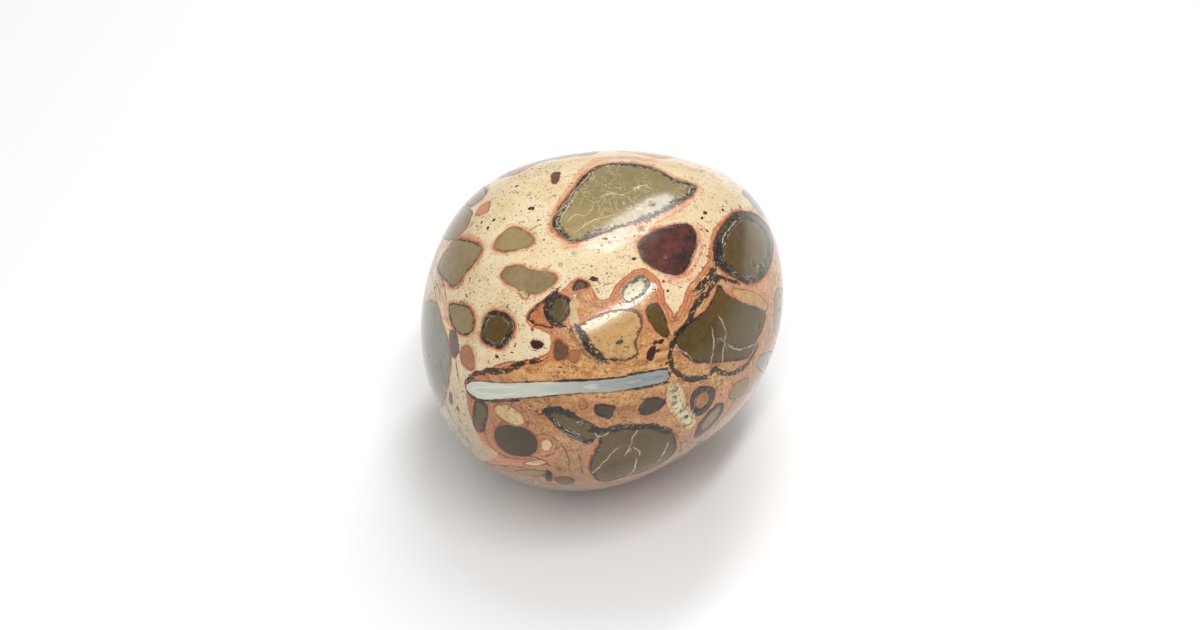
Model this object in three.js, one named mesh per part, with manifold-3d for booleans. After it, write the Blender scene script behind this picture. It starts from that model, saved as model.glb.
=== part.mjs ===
// A tumbled and polished leopardite, 45 mm wide: one solid piece of spotted volcanic rock.
// Millimetres, +Z up, the viewer's side towards -Y. The origin is at the middle of the footprint, on the
// surface that the stone rests on.
import * as THREE from "three";
import { mergeVertices } from "three/addons/utils/BufferGeometryUtils.js";
import Module from "manifold-3d";

// Tumbling turns a broken lump into a ball with worn facets. Each facet is a plane at a distance from the
// middle of the lump: its azimuth runs from +X towards +Y and its elevation up from the horizon, in degrees.
const FACETS = [
  { name: "underside", azimuth: 0, elevation: -90, distance: 21.2 },
  { name: "top", azimuth: 270, elevation: 85, distance: 22.0 },
  { name: "right", azimuth: 0, elevation: 0, distance: 24.5 },
  { name: "upper right", azimuth: 21, elevation: 22, distance: 27.6 },
  { name: "right shoulder", azimuth: 49, elevation: 40, distance: 26.2 },
  { name: "upper back", azimuth: 90, elevation: 48, distance: 21.8 },
  { name: "left shoulder", azimuth: 131, elevation: 40, distance: 23.8 },
  { name: "upper left", azimuth: 159, elevation: 22, distance: 25.4 },
  { name: "left", azimuth: 180, elevation: 0, distance: 23.5 },
  { name: "lower left", azimuth: 201, elevation: -22, distance: 26.4 },
  { name: "left haunch", azimuth: 229, elevation: -40, distance: 24.2 },
  { name: "lower front", azimuth: 270, elevation: -46, distance: 22.5 },
  { name: "right haunch", azimuth: 311, elevation: -40, distance: 20.0 },
  { name: "lower right", azimuth: 339, elevation: -22, distance: 22.2 },
  { name: "upper front", azimuth: 262, elevation: 48, distance: 24.4 },
  { name: "front", azimuth: 282, elevation: 6, distance: 23.0 },
  { name: "left front", azimuth: 228, elevation: 12, distance: 24.2 },
  { name: "right front", azimuth: 325, elevation: 14, distance: 24.0 },
  { name: "left brow", azimuth: 190, elevation: 46, distance: 23.6 },
  { name: "right brow", azimuth: 352, elevation: 46, distance: 24.0 },
  { name: "back", azimuth: 90, elevation: 0, distance: 21.8 },
  { name: "lower back right", azimuth: 60, elevation: -36, distance: 22.8 },
  { name: "lower back left", azimuth: 125, elevation: -36, distance: 22.8 },
  { name: "left foot", azimuth: 170, elevation: -48, distance: 23.2 },
  { name: "right foot", azimuth: 10, elevation: -48, distance: 22.8 },
];
const SHARPNESS = 8; // how far the facets keep their flats: 2 is nearly a ball, 30 has hard edges

// Shallow hollows that the tumbler leaves: a share of the radius, and how the hollows run over the stone.
const HOLLOWS = [
  { depth: 0.004, run: [4, 2, 5], start: 0.5 },
  { depth: 0.0035, run: [-5, 6, 2], start: 2.0 },
  { depth: 0.003, run: [7, -3, -6], start: 1.0 },
];

const RESTING_DEPTH = 20.0; // from the middle of the lump down to the worn spot that it rests on
const GRAIN = 15; // subdivisions of the icosahedron, which makes 5120 triangles

const FACET_NORMALS = FACETS.map(({ azimuth, elevation }) =>
  new THREE.Vector3().setFromSphericalCoords(
    1,
    THREE.MathUtils.degToRad(90 - elevation),
    THREE.MathUtils.degToRad(azimuth + 90),
  ),
).map(({ x, y, z }) => new THREE.Vector3(x, -z, y)); // three's spherical coordinates have +Y up

// The distance from the middle to the skin. A high power mean of the planes rounds their edges off.
function radiusTowards(direction) {
  const sum = FACETS.reduce((total, { distance }, i) => {
    const facing = Math.max(0, direction.dot(FACET_NORMALS[i]) / distance);
    return total + facing ** SHARPNESS;
  }, 0);
  const swell = HOLLOWS.reduce((total, { depth, run, start }) => {
    const wave = Math.sin(direction.dot(new THREE.Vector3(...run)) + start);
    return total * (1 + depth * wave);
  }, 1);
  return sum ** (-1 / SHARPNESS) * swell;
}

function wholeLump() {
  const ball = new THREE.IcosahedronGeometry(1, GRAIN);
  ball.deleteAttribute("normal");
  ball.deleteAttribute("uv");
  const lump = mergeVertices(ball);
  const points = lump.getAttribute("position");
  const point = new THREE.Vector3();
  for (let i = 0; i < points.count; i += 1) {
    point.fromBufferAttribute(points, i).normalize();
    point.multiplyScalar(radiusTowards(point));
    points.setXYZ(i, point.x, point.y, point.z);
  }
  return lump.translate(0, 0, RESTING_DEPTH);
}

const wasm = await Module();
wasm.setup();

function toSolid(geometry) {
  const bare = geometry.clone();
  bare.deleteAttribute("normal");
  bare.deleteAttribute("uv");
  const merged = mergeVertices(bare);
  return new wasm.Manifold(
    new wasm.Mesh({
      numProp: 3,
      vertProperties: merged.getAttribute("position").array,
      triVerts: new Uint32Array(merged.index.array),
    }),
  );
}

function toGeometry(solid) {
  const { vertProperties, triVerts } = solid.getMesh();
  return new THREE.BufferGeometry()
    .setAttribute("position", new THREE.BufferAttribute(vertProperties, 3))
    .setIndex(new THREE.BufferAttribute(triVerts, 1));
}

// Everything under the surface that the stone rests on is worn away, which leaves the small flat spot.
function wornFlat(lump) {
  const reach = 4 * RESTING_DEPTH;
  const below = new THREE.BoxGeometry(reach, reach, reach).translate(0, 0, -reach / 2);
  return toGeometry(toSolid(lump).subtract(toSolid(below)));
}

function centred(geometry) {
  geometry.computeBoundingBox();
  const middle = geometry.boundingBox.getCenter(new THREE.Vector3());
  return geometry.translate(-middle.x, -middle.y, 0);
}

const polishedRock = new THREE.MeshStandardMaterial({ color: 0xcfae85, roughness: 0.16, metalness: 0 });
const stone = new THREE.Mesh(centred(wornFlat(wholeLump())), polishedRock);
stone.name = "stone";
stone.geometry.computeVertexNormals();

const leopardite = new THREE.Group();
leopardite.add(stone);

export default leopardite;
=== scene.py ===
# %% [markdown]
# A polished leopardite. It is a lump of spotted volcanic rock that was tumbled with grit until it was
# smooth: cream and rust-coloured rock with olive, grey and maroon clasts in it, and one white vein. The
# whole stone is a single piece, so this lesson makes one mesh with a good shape, works out where every
# marking lies on it, and then lets one material paint the markings. The packed model gives the frame that
# the stone sits in.

# %% The frame
import math

import bpy
import numpy as np
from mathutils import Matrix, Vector
from mathutils.bvhtree import BVHTree


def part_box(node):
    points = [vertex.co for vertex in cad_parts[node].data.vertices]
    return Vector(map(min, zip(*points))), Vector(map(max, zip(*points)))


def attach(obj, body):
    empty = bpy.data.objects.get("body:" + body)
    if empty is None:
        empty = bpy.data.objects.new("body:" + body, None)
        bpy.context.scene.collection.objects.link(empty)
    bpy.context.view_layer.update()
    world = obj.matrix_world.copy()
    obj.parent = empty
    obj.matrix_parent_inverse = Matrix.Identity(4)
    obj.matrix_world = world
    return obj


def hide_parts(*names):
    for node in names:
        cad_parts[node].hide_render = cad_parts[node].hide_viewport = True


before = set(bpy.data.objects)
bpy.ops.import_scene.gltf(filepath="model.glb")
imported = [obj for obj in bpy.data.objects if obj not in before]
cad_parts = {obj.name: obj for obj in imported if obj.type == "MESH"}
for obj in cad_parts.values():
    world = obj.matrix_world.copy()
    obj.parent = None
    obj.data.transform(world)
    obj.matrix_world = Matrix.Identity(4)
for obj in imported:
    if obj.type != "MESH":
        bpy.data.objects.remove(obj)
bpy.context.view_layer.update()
stone_low, stone_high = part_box("stone")
MM = 0.001  # metres in a millimetre
print("the stone's box in mm:", [round((b - a) / MM, 1) for a, b in zip(stone_low, stone_high)])

# %% [markdown]
# Tumbling wears a broken lump down to flat facets with soft edges between them. The shape follows one rule:
# each facet is a plane at a distance from the middle, and the skin is a high power mean of all the planes,
# which rounds their edges off. These are the same numbers that the solid model has.

# %% The facets that the tumbler wore
FACETS = {  # azimuth from +X towards +Y and elevation in degrees, distance from the middle in mm
    "underside": (0, -90, 21.2),
    "top": (270, 85, 22.0),
    "right": (0, 0, 24.5),
    "upper right": (21, 22, 27.6),
    "right shoulder": (49, 40, 26.2),
    "upper back": (90, 48, 21.8),
    "left shoulder": (131, 40, 23.8),
    "upper left": (159, 22, 25.4),
    "left": (180, 0, 23.5),
    "lower left": (201, -22, 26.4),
    "left haunch": (229, -40, 24.2),
    "lower front": (270, -46, 22.5),
    "right haunch": (311, -40, 20.0),
    "lower right": (339, -22, 22.2),
    "upper front": (262, 48, 24.4),
    "front": (282, 6, 23.0),
    "left front": (228, 12, 24.2),
    "right front": (325, 14, 24.0),
    "left brow": (190, 46, 23.6),
    "right brow": (352, 46, 24.0),
    "back": (90, 0, 21.8),
    "lower back right": (60, -36, 22.8),
    "lower back left": (125, -36, 22.8),
    "left foot": (170, -48, 23.2),
    "right foot": (10, -48, 22.8),
}
SHARPNESS = 8.0  # how far the facets keep their flats
HOLLOWS = (  # a share of the radius, how the hollow runs over the stone, and where it starts
    (0.004, (4, 2, 5), 0.5),
    (0.0035, (-5, 6, 2), 2.0),
    (0.003, (7, -3, -6), 1.0),
)
RESTING_DEPTH = 20.0  # mm from the middle of the lump down to the worn spot that it rests on
ROWS = 126  # rows of points along each edge of the cube that the mesh starts from


def towards(azimuth, elevation):
    """The direction with that azimuth and elevation in degrees."""
    turn, rise = math.radians(azimuth), math.radians(elevation)
    level = math.cos(rise)
    return Vector((level * math.cos(turn), level * math.sin(turn), math.sin(rise)))


print(len(FACETS), "facets,", len(HOLLOWS), "hollows")

# %% [markdown]
# Node trees are easier to read as sums than as boxes and wires. One small class wraps a socket, so that an
# expression on numbers adds Math nodes, and one method makes every other node. Both the shape and the
# material are written with them.

# %% A helper for node trees


class Number:
    """A number inside a node tree. Arithmetic on it adds Math nodes."""

    def __init__(self, nodes, socket):
        self.nodes = nodes
        self.socket = socket

    def maths(self, operation, *values):
        wiring = dict(enumerate(values))
        return self.nodes.number("ShaderNodeMath", {"operation": operation}, wiring)

    def __add__(self, other):
        return self.maths("ADD", self, other)

    def __radd__(self, other):
        return self.maths("ADD", other, self)

    def __sub__(self, other):
        return self.maths("SUBTRACT", self, other)

    def __rsub__(self, other):
        return self.maths("SUBTRACT", other, self)

    def __mul__(self, other):
        return self.maths("MULTIPLY", self, other)

    def __rmul__(self, other):
        return self.maths("MULTIPLY", other, self)

    def __truediv__(self, other):
        return self.maths("DIVIDE", self, other)

    def __rtruediv__(self, other):
        return self.maths("DIVIDE", other, self)

    def __pow__(self, other):
        return self.maths("POWER", self, other)

    def __neg__(self):
        return self.maths("MULTIPLY", self, -1.0)

    def __abs__(self):
        return self.maths("ABSOLUTE", self)

    def at_least(self, other):
        return self.maths("MAXIMUM", self, other)

    def at_most(self, other):
        return self.maths("MINIMUM", self, other)

    def sine(self):
        return self.maths("SINE", self)

    def tangent(self):
        return self.maths("TANGENT", self)

    def rise(self, low, high):
        """0 below low and 1 above high, with a soft step between. It falls where low is the greater."""
        ends = {"From Min": low, "From Max": high, "Value": self}
        return self.nodes.number("ShaderNodeMapRange", {"interpolation_type": "SMOOTHSTEP"}, ends)


class Nodes:
    """Adds nodes to one tree."""

    def __init__(self, tree):
        self.tree = tree

    def add(self, kind, settings=None, wiring=None):
        """Makes a node: its settings come first, and then the values or links of its sockets."""
        node = self.tree.nodes.new(kind)
        for name, value in (settings or {}).items():
            setattr(node, name, value)
        for name, value in (wiring or {}).items():
            value = getattr(value, "socket", value)
            if isinstance(value, bpy.types.NodeSocket):
                self.tree.links.new(value, node.inputs[name])
            else:
                node.inputs[name].default_value = value
        return node

    def number(self, kind, settings=None, wiring=None, output=0):
        """A node whose output is a number."""
        return Number(self, self.add(kind, settings, wiring).outputs[output])

    def vector(self, operation, *values, output="Vector"):
        """A Vector Math node."""
        wiring = dict(enumerate(values))
        if operation == "SCALE":
            wiring = {0: values[0], "Scale": values[1]}
        return self.add("ShaderNodeVectorMath", {"operation": operation}, wiring).outputs[output]

    def dot(self, a, b):
        """The dot product of two vectors."""
        return Number(self, self.vector("DOT_PRODUCT", a, b, output="Value"))


print(Number.__doc__)
print(Nodes.__doc__)

# %% [markdown]
# The mesh starts as a cube of small squares, because a cube blown up to a ball has no poles and squares of
# nearly one size. Geometry Nodes push each point out to the distance that the facets give. A tumbled stone
# also keeps a few tiny pits where a soft grain fell out: points are scattered over the skin, and the mesh
# dips a little at each of them. The tree ends in Realize Instances and Set Material.

# %% The sizes that the tree is given
PIT_RADIUS = 0.55  # mm
PIT_DEPTH = 0.09  # mm
PITS_PER_SQUARE_METRE = 12000.0
PIT_SEED = 7
PIT_FREE, PIT_WHOLE = 0.2, 1.0  # mm above the floor, where pits begin and where they have their depth

rock = bpy.data.materials.new("polished_leopardite")
TREE_INPUTS = {  # the kind of each socket, and its value with lengths in metres
    "Rows": ("NodeSocketInt", ROWS),
    "Sharpness": ("NodeSocketFloat", SHARPNESS),
    "Resting depth": ("NodeSocketFloat", RESTING_DEPTH * MM),
    "Pit radius": ("NodeSocketFloat", PIT_RADIUS * MM),
    "Pit depth": ("NodeSocketFloat", PIT_DEPTH * MM),
    "Pit density": ("NodeSocketFloat", PITS_PER_SQUARE_METRE),
    "Pit seed": ("NodeSocketInt", PIT_SEED),
    "Rock": ("NodeSocketMaterial", rock),
}
print("the tree has", len(TREE_INPUTS), "named inputs")

# %% The tree that shapes the stone


def worn_lump(nodes, given):
    """A cube of squares, blown up to the skin of the lump and cut level at the floor."""
    # A cube from -1 to 1
    rows = given["Rows"]
    cube = nodes.add(
        "GeometryNodeMeshCube",
        wiring={"Size": (2, 2, 2), "Vertices X": rows, "Vertices Y": rows, "Vertices Z": rows},
    ).outputs["Mesh"]

    # Evenly spaced squares: the tangent undoes the way that a cube crowds its corners on a ball
    place = nodes.add("GeometryNodeInputPosition").outputs[0]
    corners = nodes.add("ShaderNodeSeparateXYZ", wiring={0: place}).outputs
    even = [(Number(nodes, corner) * (math.pi / 4)).tangent() for corner in corners]
    even = nodes.add("ShaderNodeCombineXYZ", wiring=dict(enumerate(even))).outputs[0]
    direction = nodes.vector("NORMALIZE", even)

    # The distance from the middle to the skin
    sharpness = Number(nodes, given["Sharpness"])
    total = 0.0
    for azimuth, elevation, distance in FACETS.values():
        facing = nodes.dot(direction, towards(azimuth, elevation) / (distance * MM))
        total = facing.at_least(0.0) ** sharpness + total
    radius = total ** (-1.0 / sharpness)
    for depth, run, start in HOLLOWS:
        radius = radius * (1.0 + depth * (nodes.dot(direction, run) + start).sine())

    # The point on the skin, raised so that the worn spot lies at height 0
    skin = nodes.vector("SCALE", direction, radius)
    skin = nodes.add("ShaderNodeSeparateXYZ", wiring={0: skin}).outputs
    height = (Number(nodes, skin["Z"]) + given["Resting depth"]).at_least(0.0)
    skin = nodes.add("ShaderNodeCombineXYZ", wiring={0: skin["X"], 1: skin["Y"], 2: height}).outputs[0]
    return nodes.add("GeometryNodeSetPosition", wiring={"Geometry": cube, "Position": skin}).outputs[0]


def pitted(nodes, given, body):
    """Dips the skin at scattered points, and keeps how deep each point lies in a pit as an attribute."""
    scatter = nodes.add(
        "GeometryNodeDistributePointsOnFaces",
        {"distribute_method": "RANDOM"},
        {"Mesh": body, "Density": given["Pit density"], "Seed": given["Pit seed"]},
    ).outputs["Points"]
    nearest = nodes.number(
        "GeometryNodeProximity", {"target_element": "POINTS"}, {0: scatter}, output="Distance"
    )
    place = nodes.add("GeometryNodeInputPosition").outputs[0]
    height = Number(nodes, nodes.add("ShaderNodeSeparateXYZ", wiring={0: place}).outputs["Z"])
    in_pit = (nearest / given["Pit radius"]).rise(1.0, 0.0) * height.rise(PIT_FREE * MM, PIT_WHOLE * MM)
    body = nodes.add(
        "GeometryNodeStoreNamedAttribute",
        {"data_type": "FLOAT", "domain": "POINT"},
        {"Geometry": body, "Name": "pit", "Value": in_pit},
    ).outputs[0]
    normal = nodes.add("GeometryNodeInputNormal").outputs["Normal"]
    offset = nodes.vector("SCALE", normal, -in_pit * given["Pit depth"])
    return nodes.add("GeometryNodeSetPosition", wiring={"Geometry": body, "Offset": offset}).outputs[0]


def grown_stone():
    """The stone as a plain mesh, made by the tree."""
    tree = bpy.data.node_groups.new("Tumbled stone", "GeometryNodeTree")
    sockets = {}
    for name, (kind, _) in TREE_INPUTS.items():
        sockets[name] = tree.interface.new_socket(name, in_out="INPUT", socket_type=kind)
    tree.interface.new_socket("Stone", in_out="OUTPUT", socket_type="NodeSocketGeometry")

    nodes = Nodes(tree)
    given = nodes.add("NodeGroupInput").outputs
    body = pitted(nodes, given, worn_lump(nodes, given))
    body = nodes.add("GeometryNodeSetShadeSmooth", wiring={"Geometry": body}).outputs[0]
    body = nodes.add("GeometryNodeRealizeInstances", wiring={"Geometry": body}).outputs[0]
    last = nodes.add("GeometryNodeSetMaterial", wiring={"Geometry": body, "Material": given["Rock"]})
    nodes.add("NodeGroupOutput", wiring={0: last.outputs[0]})

    seed = bpy.data.objects.new("seed of the stone", bpy.data.meshes.new("seed of the stone"))
    bpy.context.collection.objects.link(seed)
    modifier = seed.modifiers.new("Tumbled stone", "NODES")
    modifier.node_group = tree
    for name, (_, value) in TREE_INPUTS.items():
        modifier[sockets[name].identifier] = value
    evaluated = seed.evaluated_get(bpy.context.evaluated_depsgraph_get())
    mesh = bpy.data.meshes.new_from_object(evaluated)
    seed.modifiers.remove(modifier)
    bpy.data.objects.remove(seed)
    return mesh


# %% [markdown]
# The rock's mesh is made now, with a material that is still empty, and moved so that the middle of its box
# is where the packed stone has it. Everything after this is measured from the middle of the lump.

# %% The stone
mesh = grown_stone()
mesh.name = "leopardite_stone"
points = np.empty(len(mesh.vertices) * 3, dtype=np.float32)
mesh.vertices.foreach_get("co", points)
points = points.reshape(-1, 3).astype(float)
lump_middle = ((stone_low + stone_high) / 2 - Vector((points.min(0) + points.max(0)) / 2)).xy
points[:, :2] += np.array(lump_middle)
mesh.vertices.foreach_set("co", points.astype(np.float32).ravel())
mesh.update()
middle = np.array((*lump_middle, RESTING_DEPTH * MM)) / MM
skin = points / MM - middle  # every point of the skin, in mm from the middle of the lump
stone = bpy.data.objects.new("leopardite_stone", mesh)
bpy.context.collection.objects.link(stone)
print("points:", len(points), "faces:", len(mesh.polygons))
print("middle of the lump in mm:", middle.round(2))

# %% [markdown]
# The camera stands where the photograph was taken: in front of the stone and about 42 degrees above it. The
# picture is 1200 x 630 pixels. The stone sits a little right of the picture's middle and below it, which a
# small shift of the lens gives. The same camera tells which place on the skin a pixel shows.

# %% The camera
PHOTO_WIDTH, PHOTO_HEIGHT = 1200, 630
MIDDLE_PIXEL = (602.5, 320.75)  # where the middle of the lump is in the photograph
STONE_WIDTH_PIXELS, STONE_WIDTH = 361, 45.0  # pixels, mm
CAMERA_DISTANCE = 280.0  # mm
CAMERA_AZIMUTH, CAMERA_ELEVATION = 270, 42  # degrees
SENSOR = 36.0  # mm
NEAREST_SEEN = 10.0  # mm from the camera

PIXELS_PER_RADIAN = CAMERA_DISTANCE * STONE_WIDTH_PIXELS / STONE_WIDTH
to_camera = towards(CAMERA_AZIMUTH, CAMERA_ELEVATION)
camera_right = Vector((1, 0, 0))
camera_up = to_camera.cross(camera_right)

lens = bpy.data.cameras.new("camera")
lens.sensor_width = SENSOR
lens.lens = SENSOR * PIXELS_PER_RADIAN / PHOTO_WIDTH
lens.shift_x = (PHOTO_WIDTH / 2 - MIDDLE_PIXEL[0]) / PHOTO_WIDTH
lens.shift_y = (MIDDLE_PIXEL[1] - PHOTO_HEIGHT / 2) / PHOTO_WIDTH
lens.clip_start = NEAREST_SEEN * MM
camera = bpy.data.objects.new("camera", lens)
camera.location = Vector(middle) * MM + to_camera * CAMERA_DISTANCE * MM
camera.rotation_euler = to_camera.to_track_quat("Z", "Y").to_euler()
bpy.context.collection.objects.link(camera)
bpy.context.scene.camera = camera
print("lens in mm:", round(lens.lens, 1), "up:", [round(c, 3) for c in camera_up])

# %% [markdown]
# A marking that is traced in the photograph has to be laid on the skin. A ray from the camera through each
# pixel finds the place that it shows. A marking at the stone's edge goes on round it: a pixel just outside
# the stone stands for a place on the far side, as far behind the edge as the pixel is outside it, but not
# farther than a small share of the way, because the skin runs almost straight away from the camera there.

# %% From a pixel to the skin
EDGE_SEARCH_STEPS = 14  # halvings, which find the stone's edge to a small part of a pixel
FARTHEST_BEHIND = 0.012  # as a share of the way from the middle pixel

tree_of_faces = BVHTree.FromPolygons(
    [Vector(p) for p in skin], [tuple(face.vertices) for face in mesh.polygons]
)
eye = to_camera * CAMERA_DISTANCE


def ray(x, y):
    """The direction from the camera through a pixel of the photograph."""
    across, up = x - MIDDLE_PIXEL[0], MIDDLE_PIXEL[1] - y
    return (camera_right * across + camera_up * up - to_camera * PIXELS_PER_RADIAN).normalized()


def seen_at(x, y):
    """The place on the near side that a pixel shows, or None."""
    return tree_of_faces.ray_cast(eye, ray(x, y))[0]


def hidden_at(x, y):
    """The place on the far side, straight behind what a pixel shows, or None."""
    direction = ray(x, y)
    return tree_of_faces.ray_cast(eye + direction * 2 * CAMERA_DISTANCE, -direction)[0]


def between(share, x, y):
    """The pixel at that share of the way from the middle pixel to this one."""
    middle_x, middle_y = MIDDLE_PIXEL
    return middle_x + (x - middle_x) * share, middle_y + (y - middle_y) * share


def edge_share(x, y):
    """The share of the way from the middle pixel to this one at which the stone's edge is."""
    inner, outer = 0.0, 1.0
    for _ in range(EDGE_SEARCH_STEPS):
        share = (inner + outer) / 2
        if seen_at(*between(share, x, y)):
            inner = share
        else:
            outer = share
    return inner


def on_skin(x, y):
    """The place on the skin, in mm from the middle, that a traced pixel stands for."""
    place = seen_at(x, y)
    if place is None:
        edge = edge_share(x, y)
        behind = min(1 - edge, FARTHEST_BEHIND)
        place = hidden_at(*between(edge - behind, x, y))
    return np.array(place)


print("the middle pixel shows", on_skin(*MIDDLE_PIXEL).round(1), "mm from the lump's middle")

# %% [markdown]
# Each marking is an outline or a line, and the material needs to know how far every point of the skin is
# from it. A flat map round the marking keeps distances nearly true, so the sum is done there: directions
# from the middle become places on the map. The outline has few points, and a smooth curve joins them.

# %% Maps of the skin
CURVE_STEPS = 4  # straight pieces between two points of an outline
NEARLY_UP = 0.9  # the height of a direction that is too near the upright to be crossed with it


def unit(places):
    """The directions of places from the lump's middle."""
    return places / np.linalg.norm(places, axis=-1, keepdims=True)


radii = np.linalg.norm(skin, axis=1)
directions = unit(skin)


class Chart:
    """A flat map of the skin round one place. Lengths from its middle are true."""

    def __init__(self, place):
        self.scale = np.linalg.norm(place)
        self.pole = place / self.scale
        aside = np.cross(self.pole, (0, 0, 1) if abs(self.pole[2]) < NEARLY_UP else (1, 0, 0))
        self.right = aside / np.linalg.norm(aside)
        self.up = np.cross(self.right, self.pole)

    def flat(self, units):
        """Where directions from the lump's middle lie on the map."""
        angle = np.arccos(np.clip(units @ self.pole, -1, 1))
        spread = angle / np.maximum(np.sin(angle), 1e-6) * self.scale
        return np.stack([units @ self.right, units @ self.up], 1) * spread[:, None]

    def near(self, reach):
        """The points of the skin that lie within reach of the map's middle, in mm."""
        return np.flatnonzero(directions @ self.pole > math.cos(min(reach / self.scale, math.pi)))


def smooth(corners, closed=True):
    """A curve through the corners (Catmull-Rom), as a list of points."""
    corners = np.asarray(corners, float)
    if closed:
        before, after = np.roll(corners, 1, 0), np.roll(corners, -1, 0)
        beyond = np.roll(corners, -2, 0)
        starts, ends = corners, after
    else:
        starts, ends = corners[:-1], corners[1:]
        before = np.vstack([corners[:1], corners[:-2]])
        beyond = np.vstack([corners[2:], corners[-1:]])
    pieces = []
    for t in np.linspace(0, 1, CURVE_STEPS, endpoint=False):
        square = 2 * before - 5 * starts + 4 * ends - beyond
        cube = 3 * starts - before - 3 * ends + beyond
        pieces.append(0.5 * (2 * starts + (ends - before) * t + square * t**2 + cube * t**3))
    curve = np.stack(pieces, 1).reshape(-1, corners.shape[1])
    return curve if closed else np.vstack([curve, corners[-1:]])


def gap_to(path, places, closed):
    """Each place's distance to the path, and the same with a sign for the side that it lies on."""
    ends = np.roll(path, -1, 0) if closed else path[1:]
    nearest = np.full(len(places), np.inf)
    side = np.ones(len(places))
    inside = np.zeros(len(places), bool)
    for start, end in zip(path, ends):
        along, offset = end - start, places - start
        share = np.clip(offset @ along / max(along @ along, 1e-12), 0, 1)
        distance = np.hypot(*(offset - share[:, None] * along).T)
        closer = distance < nearest
        cross = along[0] * offset[:, 1] - along[1] * offset[:, 0]
        side[closer] = np.sign(cross[closer])
        nearest[closer] = distance[closer]
        crosses = (start[1] > places[:, 1]) != (end[1] > places[:, 1])
        inside ^= crosses & ((cross > 0) == (end[1] > start[1]))
    if closed:
        side = np.where(inside, -1.0, 1.0)
    return nearest, nearest * side


print("a chart's scale over the top, in mm:", round(Chart(on_skin(*MIDDLE_PIXEL)).scale, 1))

# %% [markdown]
# The clasts are pieces of older rock that the flow picked up. They are of a few kinds, and each kind has a
# ground colour, a second colour in patches, a dark mottled rim inside its edge, and an orange halo of iron
# round it.

# %% Kinds of clast


def colour(red, green, blue):
    """A display colour with channels from 0 to 255, as the linear colour that nodes use."""
    channels = (c / 255 for c in (red, green, blue))
    return (*(c / 12.92 if c <= 0.04045 else ((c + 0.055) / 1.055) ** 2.4 for c in channels), 1.0)


KINDS = {  # ground colour, patch colour, rim in mm, halo in mm
    "olive": (colour(150, 131, 92), colour(132, 113, 76), 0.25, 0.4),
    "pale olive": (colour(160, 142, 98), colour(148, 127, 80), 0.15, 0.45),
    "grey olive": (colour(144, 129, 90), colour(132, 116, 77), 0.2, 0.4),
    "brown olive": (colour(96, 73, 26), colour(79, 56, 14), 0.7, 0.45),
    "grey": (colour(150, 146, 132), colour(132, 126, 110), 0.15, 0.25),
    "dark grey": (colour(99, 81, 46), colour(85, 69, 35), 0.5, 0.3),
    "umber": (colour(71, 55, 30), colour(59, 45, 22), 0.3, 0.3),
    "maroon": (colour(42, 29, 26), colour(104, 50, 43), 0.3, 0.4),
    "speck": (colour(44, 36, 24), colour(74, 60, 36), 0.0, 0.05),
    "near black": (colour(36, 25, 22), colour(62, 38, 28), 0.1, 0.2),
    "brown": (colour(96, 68, 46), colour(112, 80, 54), 0.15, 0.35),
    "rust": (colour(172, 118, 78), colour(150, 96, 60), 0.1, 0.25),
    "orange": (colour(202, 128, 76), colour(176, 96, 54), 0.3, 0.1),
    "salmon": (colour(222, 150, 110), colour(206, 128, 86), 0.05, 0.3),
    "mauve": (colour(122, 102, 100), colour(104, 86, 84), 0.1, 0.2),
    "tan": (colour(207, 167, 110), colour(189, 145, 88), 0.3, 0.2),
    "cream": (colour(216, 188, 138), colour(196, 164, 114), 0.1, 0.35),
    "pale": (colour(222, 208, 172), colour(200, 186, 148), 0.1, 0.35),
    "slate": (colour(64, 60, 54), colour(86, 77, 66), 0.2, 0.15),
}
print(len(KINDS), "kinds of clast")

# %% [markdown]
# For every point of the skin the fields keep the distance to the nearest clast, below 0 inside it, and
# that clast's colours, rim and halo. A later clast is laid over an earlier one, so a ring is a clast with a
# smaller one on it. Where a clast has other colours in one part, a stain is laid over it: a second traced
# outline that fades another kind's colours in and leaves the distances alone.

# %% Laying a clast
FAR = 30.0  # mm, farther than anything on the stone
HALO_REACH = 4.0  # mm round a clast within which its field is worked out
LEAST_HALO = 0.2  # mm, where no clast is near
LINE_KINDS = ("seam", "crack", "thread", "blush")

count = len(skin)
fields = {name: np.full(count, FAR) for name in ("clast", "vein", "zone")}
for kind in LINE_KINDS:
    fields[kind + "_side"] = np.full(count, FAR)
    fields[kind + "_near"] = np.full(count, FAR)
fields["rim"] = np.zeros(count)
fields["halo"] = np.full(count, LEAST_HALO)
fields["crackle"] = np.zeros(count)
tints = {"ground": np.ones((count, 4)), "patch": np.ones((count, 4))}


def lay_clast(chart, outline, kind, rim=None, halo=None, crackle=0.0):
    """Adds one clast to the fields, over what is there. crackle is how much pale crazing it has."""
    ground, patch, usual_rim, usual_halo = KINDS[kind]
    near = chart.near(np.hypot(*outline.T).max() + HALO_REACH)
    distance = gap_to(outline, chart.flat(directions[near]), closed=True)[1]
    carved = np.maximum(fields["clast"][near], -distance)
    mine = distance < carved
    fields["clast"][near] = np.where(mine, distance, carved)
    chosen = near[mine]
    fields["rim"][chosen] = usual_rim if rim is None else rim
    fields["halo"][chosen] = usual_halo if halo is None else halo
    fields["crackle"][chosen] = crackle
    tints["ground"][chosen] = ground
    tints["patch"][chosen] = patch


def traced(pixels):
    """A chart round a traced marking, and the marking's corners on it."""
    places = np.array([on_skin(*pixel) for pixel in pixels])
    radius = np.linalg.norm(places, axis=1).mean()
    chart = Chart(unit(places.mean(0)) * radius)
    return chart, chart.flat(unit(places))


def lay_traced_clast(kind, pixels, *finish):
    """Adds a clast that is traced in the photograph. The finish may give its rim, halo and crackle."""
    chart, corners = traced(pixels)
    lay_clast(chart, smooth(corners), kind, *finish)


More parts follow.
